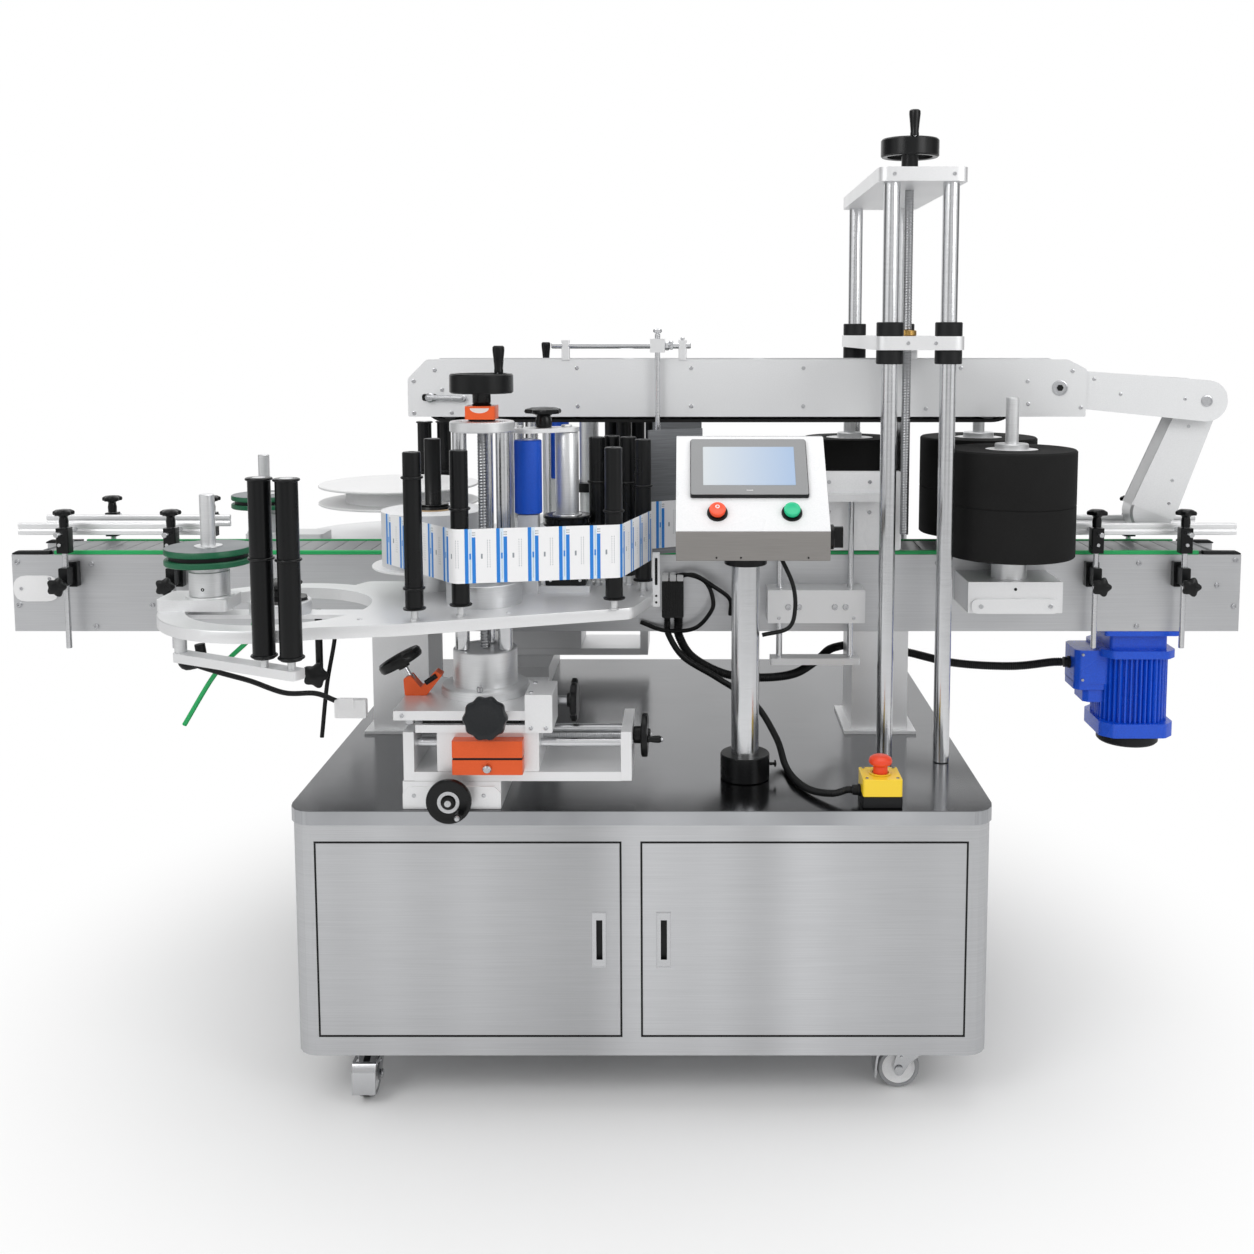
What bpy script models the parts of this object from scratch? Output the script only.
# A bottle labelling machine on a wheeled steel cabinet.
# A flat-top conveyor crosses the machine along X. A label head stands on either side of it, a belt
# beam hangs over it from a four-post tower, and the operator's panel stands at the front.
# Lengths are in metres, Z is up, the floor is Z = 0, and the conveyor's middle is X = 0, Y = 0.
# The front of the machine is at -Y.
from math import atan2, ceil, cos, pi, radians, sin, sqrt

import bmesh
import bpy
from mathutils import Vector

# Clearances and overlaps
FIT = 0.0003  # gap between neighbouring pieces
BITE = 0.001  # how far welded shapes sink into each other
OVERRUN = 0.02  # how far a cutter runs past what it cuts
FINE = 8  # sides of a thin rod
ROUND = 16  # sides of a post, a roller or a small disc
WIDE = 24  # sides of a large disc
CORNER_SEGMENTS = 4  # flats round a rounded corner
CORNER_PROFILE = 0.5  # a round corner, not a hollow or a full one
UPRIGHT_SHARE = 0.9  # an edge counts as upright when this share of it is along Z
SMOOTH_DEGREES = 35  # shading is smooth over edges flatter than this

# Cabinet, worktop and doors
CABINET_LENGTH = 1.200
CABINET_DEPTH = 1.020
CABINET_SHIFT = 0.044  # the cabinet's middle lies right of the conveyor's
CASTER_HEIGHT = 0.100
WORKTOP_Z = 0.535
WORKTOP_SKIRT = 0.025
WORKTOP_PLATE = 0.006
WORKTOP_CORNER = 0.040
SHEET = 0.003
DOOR_SIDE_MARGIN = 0.047
DOOR_TOP_MARGIN = 0.031
DOOR_BOTTOM_MARGIN = 0.035
DOOR_POST = 0.035
DOOR_POST_SHIFT = 0.0175  # the post between the doors lies left of the cabinet's middle
DOOR_THICK = 0.018
DOOR_SKIN = 0.002
DOOR_GAP = 0.002
HINGE_GAP = 0.0006
HANDLE_WIDTH = 0.029
HANDLE_HEIGHT = 0.103
HANDLE_EDGE = 0.021  # from the door's free edge to its handle
HANDLE_DEPTH = 0.008

# Casters
CASTER_INSET_X = 0.117
CASTER_INSET_Y = 0.085
CASTER_TRAIL = 0.030
CASTER_WHEEL_R = 0.0375
CASTER_WHEEL_WIDTH = 0.030
CASTER_CLEAR = 0.002
CASTER_LEG = 0.003
CASTER_HOUSING_R = 0.028
CASTER_HOUSING = 0.014
CASTER_AXLE_R = 0.005
CASTER_YOKE = 0.020  # half length of the yoke's legs at the top
PEDAL_LENGTH = 0.030
PEDAL_THICK = 0.005
PEDAL_Z = 0.068
CASTER_TURNS = (-90, 180, -35, -145)  # degrees from +X: front left, front right, rear left, rear right

# Conveyor
CONVEYOR_LENGTH = 2.450
CONVEYOR_HALF_WIDTH = 0.075
CONVEYOR_BOTTOM_Z = 0.742
CONVEYOR_PLATE_TOP_Z = 0.897
CONVEYOR_PLATE = 0.004
STRIP_WIDTH = 0.010
STRIP_TOP_Z = 0.905
CHAIN_TOP_Z = 0.903
CHAIN_RADIUS = 0.062
CHAIN_THICK = 0.006
CHAIN_SIDE_GAP = 0.004
CHAIN_ARC_DEGREES = 15  # each flat of the chain's round ends
CHAIN_RAIL_Y = 0.046  # how near the middle the rails under the chain reach
CHAIN_RAIL = 0.010
SPACER_R = 0.010
SPACER_COUNT = 5
SPACER_INSET = 0.110

# Conveyor supports
SUPPORT_LEFT_X = -0.4545
SUPPORT_RIGHT_X = 0.508
SUPPORT_WIDTH = 0.112
SUPPORT_WALL = 0.005
SUPPORT_FLANGE = 0.006
SUPPORT_LIP = 0.016

# Drive motor under the right end
MOTOR_X = 1.034
MOTOR_R = 0.075
MOTOR_TOP_Z = 0.700
MOTOR_LOW_Z = 0.520
MOTOR_FAN_R = 0.062
MOTOR_FAN_Z = 0.496
GEARBOX_HALF = 0.058
MOTOR_FLANGE = 0.010
TERMINAL_LENGTH = 0.050
TERMINAL_HALF_DEPTH = 0.045
TERMINAL_LOW_Z = 0.625
TERMINAL_TOP_Z = 0.695

# Guide rails and their posts
RAIL_Z = 0.9465
RAIL_HEIGHT = 0.024
RAIL_THICK = 0.010
RAIL_Y = 0.058
RAIL_LEFT_X = (-1.216, -0.834)
RAIL_RIGHT_X = (0.888, 1.219)
POSTS_LEFT_X = (-1.102, -0.892)
POSTS_RIGHT_X = (0.925, 1.099)
REAR_RIGHT_SHIFT = 0.038  # the rear right posts lie left of the front ones
POST_Y = 0.108
POST_R = 0.0055
POST_LOW_Z = 0.716
CLAMP_LOW_Z = 0.9065
CLAMP_TOP_Z = 0.9565
CLAMP_HALF = 0.012
CROSS_ROD_R = 0.005
CROSS_ROD_OUT = 0.035  # how far a cross rod shows outside its clamp
KNOB_R = 0.018
KNOB_TOP_Z = 0.992
KNOB_THICK = 0.014
KNOB_STEM_R = 0.009
BRACKET_HALF = 0.013
BRACKET_Z = 0.835
BRACKET_HEIGHT = 0.056
SIDE_KNOB_R = 0.017
SIDE_KNOB_OUT = 0.036

# Spacing rollers and their brackets
SPACING_X = 0.745
SPACING_Y = 0.145
SPACING_R = 0.123
SPACING_LOW_Z = 0.910
SPACING_HEIGHT = 0.206
SPACING_SHAFT_R = 0.0125
SPACING_SHAFT_TOP_Z = 1.214
SPACING_HUB_R = 0.019
SPACING_HUB_HEIGHT = 0.010
BOSS_R = 0.034
SPACING_BLOCK_HALF = 0.090
SPACING_BLOCK_OUT = 0.125
SPACING_BLOCK_Z = (0.806, 0.866)
LINK_PLATE = 0.006
LINK_HALF = 0.084
LINK_R = 0.014
LINK_Z = 0.820
GUIDE_ROD_R = 0.006
GUIDE_ROD_HALF_SPAN = 0.055
GUIDE_ROD_IN = 0.045

# Wrap roller behind the conveyor and wrap pad before it
WRAP_ROLLER_X = 0.4675
WRAP_ROLLER_Y = 0.138
WRAP_ROLLER_R = 0.098
WRAP_BLOCK_X = (0.278, 0.468)
WRAP_BLOCK_Z = (0.773, 0.838)
WRAP_BLOCK_OUT = 0.065
WRAP_ROD_R = 0.006
WRAP_ROD_INSET = 0.025
WRAP_ROD_Y = 0.108
WRAP_LOW_Z = (0.686, 0.699)
WRAP_PLATE_HALF = 0.018
WRAP_TOP_Z = (1.010, 1.024)
WRAP_TOP_END_X = 0.500
PAD_X = (0.345, 0.543)
PAD_Z = (0.909, 1.066)
PAD_Y = 0.080
PAD_THICK = 0.014

# Tower
TOWER_X = 0.5445
TOWER_HALF_X = 0.0535
TOWER_HALF_Y = 0.255
TOWER_POST_R = 0.015
TOWER_TOP_Z = 1.632
TOWER_PLATE = 0.025
TOWER_EDGE = 0.027  # the plate reaches this far past the posts' axes
LIFT_PLATE_Z = (1.306, 1.331)
COLLAR_R = 0.025
COLLAR_HEIGHT = 0.026
LIFT_SCREW_Y = -0.120
LIFT_SCREW_R = 0.009
LIFT_SCREW_LOW_Z = 0.945
HAND_R = 0.055
HAND_RIM = 0.013
HAND_RIM_HEIGHT = 0.034
HAND_WEB = 0.006
HAND_HUB_R = 0.016
TOWER_HUB_HEIGHT = 0.053
COLUMN_HUB_HEIGHT = 0.035
GRIP_R = 0.011
GRIP_LENGTH = 0.048
COLUMN_GRIP_DEGREES = 60
INFEED_GRIP_DEGREES = -45

# Hold-down beam and its lead-in arm
BEAM_X = (-0.430, 0.908)
BEAM_Z = (1.172, 1.285)
BEAM_HALF_WIDTH = 0.070
BEAM_PLATE = 0.006
BEAM_CHAMFER = 0.038
BEAM_BELT_THICK = 0.006
BEAM_BELT_DROP = 0.012  # the belt shows this far under the side plates
BEAM_BELT_TOP_Z = 1.262
BEAM_BELT_INSET = 0.030
BEAM_BELT_END_X = 0.770
HANGER_HALF = 0.030
PIVOT_X = 0.855
PIVOT_Z = 1.228
LINK_END_X = 1.150
LINK_END_Z = 1.203
LINK_END_R = 0.041
ARM_END_X = 1.062
ARM_END_Z = 0.975
ARM_HALF_WIDTH = 0.046
ARM_HALF_DEPTH = 0.029
ARM_TAPER = 1.2  # the arm's foot is this many times as wide as its top
PIVOT_R = 0.036
SENSOR_POSTS_X = (-0.118, 0.112)
SENSOR_ROD_Z = 1.312
SENSOR_ROD_R = 0.006
SENSOR_POST_HALF = 0.008
SENSOR_BLOCK_HALF = 0.014
SENSOR_DROP_X = 0.063
SENSOR_DROP_Y = 0.084
SENSOR_DROP_LOW_Z = 1.145

# Control panel
PANEL_POST_X = 0.226
PANEL_POST_Y = -0.342
PANEL_POST_R = 0.025
PANEL_BASE_R = 0.0445
PANEL_BASE_HEIGHT = 0.046
PANEL_COLLAR_R = 0.038
PANEL_COLLAR_HEIGHT = 0.020
BOX_X = (0.102, 0.368)
BOX_FRONT_Y = -0.430
BOX_TOP_Y = -0.284
BOX_BACK_Y = -0.255
BOX_LOW_Z = 0.947
BOX_LIP_Z = 0.998
BOX_TOP_Z = 1.149
SCREEN_X = (0.127, 0.335)
SCREEN_SHARES = (0.34, 0.95)  # where the screen's frame lies up the sloped face
SCREEN_OUT = 0.008
BUTTON_SHARE = 0.19
STOP_X = 0.174
START_X = 0.303
BUTTON_R = 0.0145
BUTTON_HEIGHT = 0.014
BUTTON_STEM_R = 0.009
BUTTON_STEM = 0.012
BUTTON_TRAVEL = 0.004
SWITCH_Y = -0.385
SWITCH_Z = 0.982
SWITCH_R = 0.022
SWITCH_PLATE = 0.010
SWITCH_GRIP = 0.016
SWITCH_GRIP_HALF = 0.007
SWITCH_GRIP_REACH = 0.018

# Emergency stop
ESTOP_X = 0.453
ESTOP_Y = -0.466
ESTOP_HALF = 0.034
ESTOP_HEIGHT = 0.050
ESTOP_CAP_R = 0.020
ESTOP_CAP = 0.014
ESTOP_STEM_R = 0.013
ESTOP_STEM = 0.018
ESTOP_DEPTH = 0.010
ESTOP_TRAVEL = 0.005

# Label head slides
COLUMN_X = -0.235
COLUMN_Y = 0.380
BASE_X = (-0.359, -0.193)
BASE_Y = (0.250, 0.500)
BASE_TOP_Z = 0.583
INFEED_WHEEL_GAP = 0.010
FRAME_X = (-0.357, 0.028)
FRAME_Y = (0.360, 0.500)
FRAME_FLOOR = 0.016
FRAME_END = 0.018
FRAME_TOP_Z = 0.668
FRAME_ROD_R = 0.007
FRAME_ROD_Z = 0.642
FRAME_ROD_INSET = 0.028
SCREW_R = 0.006
SADDLE_X = (-0.300, -0.128)
CLAMP_X = (-0.271, -0.153)
CLAMP_OUT = 0.024
CLAMP_Z = (0.602, 0.660)
LOWER_PLATE_Z = (0.6685, 0.682)
LOWER_PLATE_X = (-0.335, -0.130)
TILT_PLATE_Z = (0.690, 0.706)
TILT_PLATE_X = (-0.372, -0.132)
TILT_Y = (0.290, 0.505)
TILT_BAR_HALF = 0.060
FLANGE_R = 0.0775
FLANGE_HEIGHT = 0.016
DRUM_R = 0.056
DRUM_TOP_Z = 0.785
COLUMN_POST_R = 0.0125
COLUMN_POST_RING = 0.040
COLUMN_POST_DEGREES = (200, 340, 90)  # where the three posts stand round the column
COLUMN_TOP_Z = 1.185
COLUMN_CAP = 0.018
COLUMN_CAP_R = 0.056
INDICATOR_HALF = 0.026
INDICATOR_HEIGHT = 0.030
WORM_X = (-0.150, -0.104)
WORM_Y = (0.420, 0.510)
WORM_TOP_Z = 0.735
SMALL_HAND_R = 0.038

# Label head plate and what stands on it
PLATE_Z = (0.846, 0.866)
RING_X = -0.585
RING_Y = 0.410
RING_R = 0.200
RING_HOLE_R = 0.155
RING_CORNER_DEGREES = 60  # where the plate's front edge meets the ring
RING_BAR_HALF = 0.022
RING_BAR = 0.008
SPINDLE_R = 0.052
SPINDLE_HEIGHT = 0.022
PLATE_CORNER_X = -0.345
PLATE_CORNER_Y = 0.556
PLATE_RIGHT_X = 0.028
PLATE_RIGHT_Y = 0.430
PLATE_BACK_X = 0.058
PLATE_SIDE_Y = 0.320
PLATE_BACK_Y = 0.190
SLEEVE_R = 0.066
SLEEVE_TOP_Z = 0.905
GUIDE_R = 0.015
GUIDE_Z = (0.885, 1.145)
GUIDE_STEM_R = 0.006
ROLLER_PLACES = ((-0.327, 0.528), (-0.256, 0.497), (-0.003, 0.445), (0.041, 0.280), (-0.0465, 0.2285),
                 (-0.020, 0.200), (0.012, 0.225))
STEPPER_HALF = 0.029
STEPPER_TOP_Z = 0.905
DRIVE_X = -0.099
DRIVE_Y = 0.262
DRIVE_R = 0.0215
DRIVE_Z = (0.985, 1.157)
PULLEY_R = 0.0445
PULLEY_HEIGHT = 0.020
PINCH_X = -0.167
PINCH_Y = 0.290
PINCH_R = 0.025
PINCH_Z = (1.010, 1.147)
PINCH_BLOCK_HALF = 0.021
PEEL_START = (0.046, 0.160)
PEEL_END = (0.150, 0.104)
PEEL_Z = (0.912, 1.152)
PEEL_THICK = 0.005
PEEL_FOOT_X = (-0.010, 0.062)
PEEL_FOOT_Y = 0.148

# Label rolls, web, rewinder and dancer
TRAY_X = -0.345
TRAY_Y = 0.265
TRAY_R = 0.112
TRAY_Z = 0.910
TRAY_THICK = 0.005
ROLL_R = 0.094
ROLL_HEIGHT = 0.100
HUB_R = 0.030
REAR_TRAY_X = -0.540
REAR_TRAY_Y = 0.330
REAR_TRAY_R = 0.180
REAR_TRAY_Z = 0.950
REAR_ROLL_R = 0.120
REAR_ROLL_HEIGHT = 0.034
REWIND_X = -0.703
REWIND_Y = 0.420
REWIND_BASE_TOP_Z = 0.888
REWIND_BASE_X = (-0.782, -0.661)
REAR_REWIND_X = -0.840
REAR_REWIND_Y = 0.300
REAR_REWIND_BASE_X = (-0.875, -0.700)
REWIND_BASE_HALF = 0.042
REWIND_COLLAR_R = 0.034
REWIND_DISC_R = 0.073
REWIND_DISC_Z = (0.942, 0.972)
REWIND_GROOVE = 0.008
REWIND_SHAFT_R = 0.0125
REWIND_TOP_Z = 1.062
DANCER_PIVOT_X = -0.711
DANCER_PIVOT_Y = 0.536
DANCER_ROLLERS = ((-0.4955, 0.645), (-0.542, 0.632))
DANCER_R = 0.0175
DANCER_Z = (0.829, 1.115)
DANCER_ARM_Z = (0.800, 0.815)
DANCER_ARM_HALF = 0.014
DANCER_PIN_R = 0.010
WEB_Z = (0.924, 1.015)
WEB_THICK = 0.0008

# Cables
CONNECTOR_X = (0.071, 0.114)
CONNECTOR_Z = (0.776, 0.862)
CONNECTOR_OUT = 0.032
CONDUIT_R = 0.009
STOP_CONDUIT_R = 0.0065
GLAND_R = 0.011
GLAND_LENGTH = 0.014
CABLE_STEP = 5  # a cable's points lie about this many radii apart
CABLE_SEGMENTS = 2
MOTOR_CONDUIT_ROUTE = ((0.1035, -0.091, 0.7757), (0.1035, -0.091, 0.762), (0.1055, -0.093, 0.735),
                       (0.132, -0.098, 0.695), (0.195, -0.104, 0.663), (0.265, -0.104, 0.655),
                       (0.335, -0.085, 0.658), (0.390, -0.010, 0.668), (0.432, 0.080, 0.670),
                       (0.508, 0.122, 0.668), (0.590, 0.090, 0.658), (0.680, 0.030, 0.650),
                       (0.790, 0.004, 0.650), (0.870, 0.000, 0.659), (0.884, 0.000, 0.660),
                       (0.8947, 0.000, 0.660))
STOP_CONDUIT_ROUTE = ((0.4047, -0.466, 0.556), (0.396, -0.466, 0.556), (0.372, -0.464, 0.549),
                      (0.338, -0.432, 0.5430), (0.314, -0.375, 0.5425), (0.302, -0.300, 0.5440),
                      (0.290, -0.225, 0.572), (0.250, -0.165, 0.622), (0.180, -0.140, 0.664),
                      (0.115, -0.122, 0.700), (0.084, -0.096, 0.740), (0.0815, -0.091, 0.765),
                      (0.0815, -0.091, 0.7757))

# Places worked out from the sizes above
CABINET_X = (CABINET_SHIFT - CABINET_LENGTH / 2, CABINET_SHIFT + CABINET_LENGTH / 2)
CABINET_Y = (-CABINET_DEPTH / 2, CABINET_DEPTH / 2)
SHELL_INSET = SHEET + FIT
SHELL_X = (CABINET_X[0] + SHELL_INSET, CABINET_X[1] - SHELL_INSET)
SHELL_Y = (CABINET_Y[0] + SHELL_INSET, CABINET_Y[1] - SHELL_INSET)
SHELL_TOP_Z = WORKTOP_Z - WORKTOP_PLATE - FIT
DOOR_Z = (CASTER_HEIGHT + DOOR_BOTTOM_MARGIN, WORKTOP_Z - WORKTOP_SKIRT - DOOR_TOP_MARGIN)
POST_MIDDLE_X = CABINET_SHIFT - DOOR_POST_SHIFT
LEFT_OPENING_X = (CABINET_X[0] + DOOR_SIDE_MARGIN, POST_MIDDLE_X - DOOR_POST / 2)
RIGHT_OPENING_X = (POST_MIDDLE_X + DOOR_POST / 2, CABINET_X[1] - DOOR_SIDE_MARGIN)
HALF_LENGTH = CONVEYOR_LENGTH / 2
CHAIN_MIDDLE_Z = CHAIN_TOP_Z - CHAIN_RADIUS
CHAIN_HALF_WIDTH = CONVEYOR_HALF_WIDTH - STRIP_WIDTH - CHAIN_SIDE_GAP
FRAME_BED_Z = BASE_TOP_Z + FIT
INFEED_WHEEL_Y = -max(CABINET_DEPTH / 2, BASE_Y[1] + INFEED_WHEEL_GAP)
COLUMN_POSTS = [
    (COLUMN_X + COLUMN_POST_RING * cos(radians(a)), COLUMN_Y - COLUMN_POST_RING * sin(radians(a)))
    for a in COLUMN_POST_DEGREES
]


def keep(name, mesh_data):
    """Put a finished bmesh into the scene as an object."""
    mesh = bpy.data.meshes.new(name)
    bmesh.ops.recalc_face_normals(mesh_data, faces=mesh_data.faces)
    mesh_data.to_mesh(mesh)
    mesh_data.free()
    shape = bpy.data.objects.new(name, mesh)
    bpy.context.collection.objects.link(shape)
    return shape


def block(x, y, z, edge=0.0):
    """A box between two places on each axis, with its upright edges rounded to a radius."""
    shape = bmesh.new()
    bmesh.ops.create_cube(shape, size=1)
    low, high = (Vector(corner) for corner in zip(*(sorted(pair) for pair in (x, y, z))))
    for v in shape.verts:
        v.co = (low + high) / 2 + Vector(a * b for a, b in zip(v.co, high - low))
    if edge:
        upright = [
            e for e in shape.edges
            if abs((e.verts[0].co - e.verts[1].co).normalized().z) > UPRIGHT_SHARE
        ]
        bmesh.ops.bevel(shape, geom=upright, offset=edge, segments=CORNER_SEGMENTS, affect="EDGES",
                        profile=CORNER_PROFILE)
    return keep("block", shape)


def rod(start, end, radius, sides=FINE):
    """A round bar from one point to another."""
    start, end = Vector(start), Vector(end)
    shape = bmesh.new()
    bmesh.ops.create_cone(
        shape, cap_ends=True, segments=sides, radius1=radius, radius2=radius, depth=(end - start).length
    )
    turn = (end - start).to_track_quat("Z", "Y").to_matrix().to_4x4()
    bmesh.ops.transform(shape, matrix=turn, verts=shape.verts)
    bmesh.ops.translate(shape, vec=(start + end) / 2, verts=shape.verts)
    return keep("rod", shape)


def pillar(place, low, high, radius, sides=FINE):
    """A round bar that stands at a place (x, y)."""
    return rod((*place, low), (*place, high), radius, sides)


def bar_y(x, y, z, radius, sides=FINE):
    """A round bar along Y between two places."""
    return rod((x, y[0], z), (x, y[1], z), radius, sides)


def bore(start, end, radius, sides=FINE):
    """A cutter for a round hole whose flats clear a bar of this radius, also while the bar turns."""
    return rod(start, end, (radius + FIT) / cos(pi / sides), sides)


def prism(outline, low, high, axis="z"):
    """A flat outline of (a, b) points drawn out along one axis: z, or y for an outline in x and z,
    or x for an outline in y and z."""
    place = {
        "z": lambda a, b, c: (a, b, c),
        "y": lambda a, b, c: (a, c, b),
        "x": lambda a, b, c: (c, a, b),
    }[axis]
    shape = bmesh.new()
    rings = [[shape.verts.new(place(a, b, c)) for a, b in outline] for c in (low, high)]
    for ring in rings:
        shape.faces.new(ring)
    for i in range(len(outline)):
        j = (i + 1) % len(outline)
        shape.faces.new((rings[0][i], rings[0][j], rings[1][j], rings[1][i]))
    return keep("prism", shape)


def turned(profile, foot, direction=(0, 0, 1), sides=ROUND):
    """A turned solid: a closed profile of (radius, height) points about an axis from foot."""
    shape = bmesh.new()
    rings = []
    for radius, height in profile:
        if radius == 0:
            rings.append([shape.verts.new((0, 0, height))])
        else:
            rings.append([
                shape.verts.new((radius * cos(a), radius * sin(a), height))
                for a in (2 * pi * i / sides for i in range(sides))
            ])
    for low, high in zip(rings, rings[1:] + rings[:1]):
        for i in range(sides):
            j = (i + 1) % sides
            corners = [low[i % len(low)], low[j % len(low)], high[j % len(high)], high[i % len(high)]]
            corners = list(dict.fromkeys(corners))
            if len(corners) > 2:
                shape.faces.new(corners)
    turn = Vector(direction).to_track_quat("Z", "Y").to_matrix().to_4x4()
    bmesh.ops.transform(shape, matrix=turn, verts=shape.verts)
    bmesh.ops.translate(shape, vec=Vector(foot), verts=shape.verts)
    return keep("turned", shape)


def material(name, colour, roughness, metallic):
    """A plain principled material."""
    made = bpy.data.materials.new(name)
    made.use_nodes = True
    shader = made.node_tree.nodes["Principled BSDF"]
    shader.inputs["Base Color"].default_value = (*colour, 1)
    shader.inputs["Roughness"].default_value = roughness
    shader.inputs["Metallic"].default_value = metallic
    made.diffuse_color = (*colour, 1)
    return made


BRUSHED = ((0.42, 0.42, 0.43), 0.35, 1.0)
POLISHED = ((0.65, 0.65, 0.66), 0.15, 1.0)
ANODISED = ((0.75, 0.76, 0.77), 0.40, 0.9)
SATIN = ((0.82, 0.82, 0.83), 0.45, 0.2)
BLACK = ((0.015, 0.015, 0.016), 0.45, 0.0)
FOAM = ((0.03, 0.03, 0.03), 0.90, 0.0)
GREEN = ((0.02, 0.45, 0.16), 0.50, 0.0)
BLUE = ((0.01, 0.06, 0.45), 0.40, 0.0)
RED = ((0.65, 0.04, 0.02), 0.35, 0.0)
YELLOW = ((0.85, 0.50, 0.01), 0.40, 0.0)
WHITE = ((0.85, 0.85, 0.85), 0.50, 0.0)


def fuse(name, look, solids, cuts=(), pivot=(0, 0, 0), turn=0.0):
    """Weld solids into one named piece, cut it, and set its origin on a pivot. With a turn in
    degrees the solids are drawn about the pivot and the piece is turned about the upright there."""
    body, *rest = solids
    tools = [(tool, "UNION") for tool in rest] + [(tool, "DIFFERENCE") for tool in cuts]
    for tool, operation in tools:
        modifier = body.modifiers.new(operation, "BOOLEAN")
        modifier.operation = operation
        modifier.object = tool
    seen = body.evaluated_get(bpy.context.evaluated_depsgraph_get())
    mesh = bpy.data.meshes.new_from_object(seen)
    body.modifiers.clear()
    body.data = mesh
    for tool, _ in tools:
        bpy.data.objects.remove(tool)
    if not turn:
        for v in mesh.vertices:
            v.co -= Vector(pivot)
    body.location = pivot
    body.rotation_euler.z = radians(turn)
    body.name = name
    mesh.name = name
    mesh.materials.clear()
    mesh.materials.append(material(name, *look))
    mesh.shade_smooth()
    mesh.set_sharp_from_angle(angle=radians(SMOOTH_DEGREES))
    return body


def out(side, distance):
    """A place on Y that lies outwards of the conveyor: side is -1 at the front and 1 at the rear."""
    return side * distance


def outs(side, pair):
    """Two places on Y that lie outwards of the conveyor."""
    return tuple(sorted(side * value for value in pair))


def around(middle, half):
    """The two places half a width either side of a middle."""
    return (middle - half, middle + half)


def hand_wheel(foot, direction, radius, rise, across):
    """A dished hand wheel on its hub, with an upright grip at its rim on the side named by across."""
    foot, direction, across = Vector(foot), Vector(direction), Vector(across)
    low = rise - HAND_RIM_HEIGHT / 2
    high = rise + HAND_RIM_HEIGHT / 2
    profile = (
        (0, 0), (HAND_HUB_R, 0), (HAND_HUB_R, rise - HAND_WEB),
        (radius - HAND_RIM, rise - HAND_WEB), (radius - HAND_RIM, low), (radius, low),
        (radius, high), (radius - HAND_RIM, high), (radius - HAND_RIM, rise),
        (HAND_HUB_R, rise), (0, rise),
    )
    grip = foot + across * (radius - HAND_RIM / 2) + direction * (high - BITE)
    return [
        turned(profile, foot, direction, ROUND),
        rod(grip, grip + direction * GRIP_LENGTH, min(GRIP_R, HAND_RIM), FINE),
    ]


def small_wheel(foot, direction, radius, across):
    """A flat hand wheel with a short hub and a grip, for the slides."""
    foot, direction, across = Vector(foot), Vector(direction), Vector(across)
    profile = (
        (0, 0), (HAND_HUB_R, 0), (HAND_HUB_R, HAND_RIM), (radius, HAND_RIM),
        (radius, 2 * HAND_RIM), (0, 2 * HAND_RIM),
    )
    grip = foot + across * (radius - HAND_RIM) + direction * (2 * HAND_RIM - BITE)
    return [
        turned(profile, foot, direction, ROUND),
        rod(grip, grip + direction * GRIP_LENGTH / 2, HAND_RIM / 2, FINE),
    ]


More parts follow.
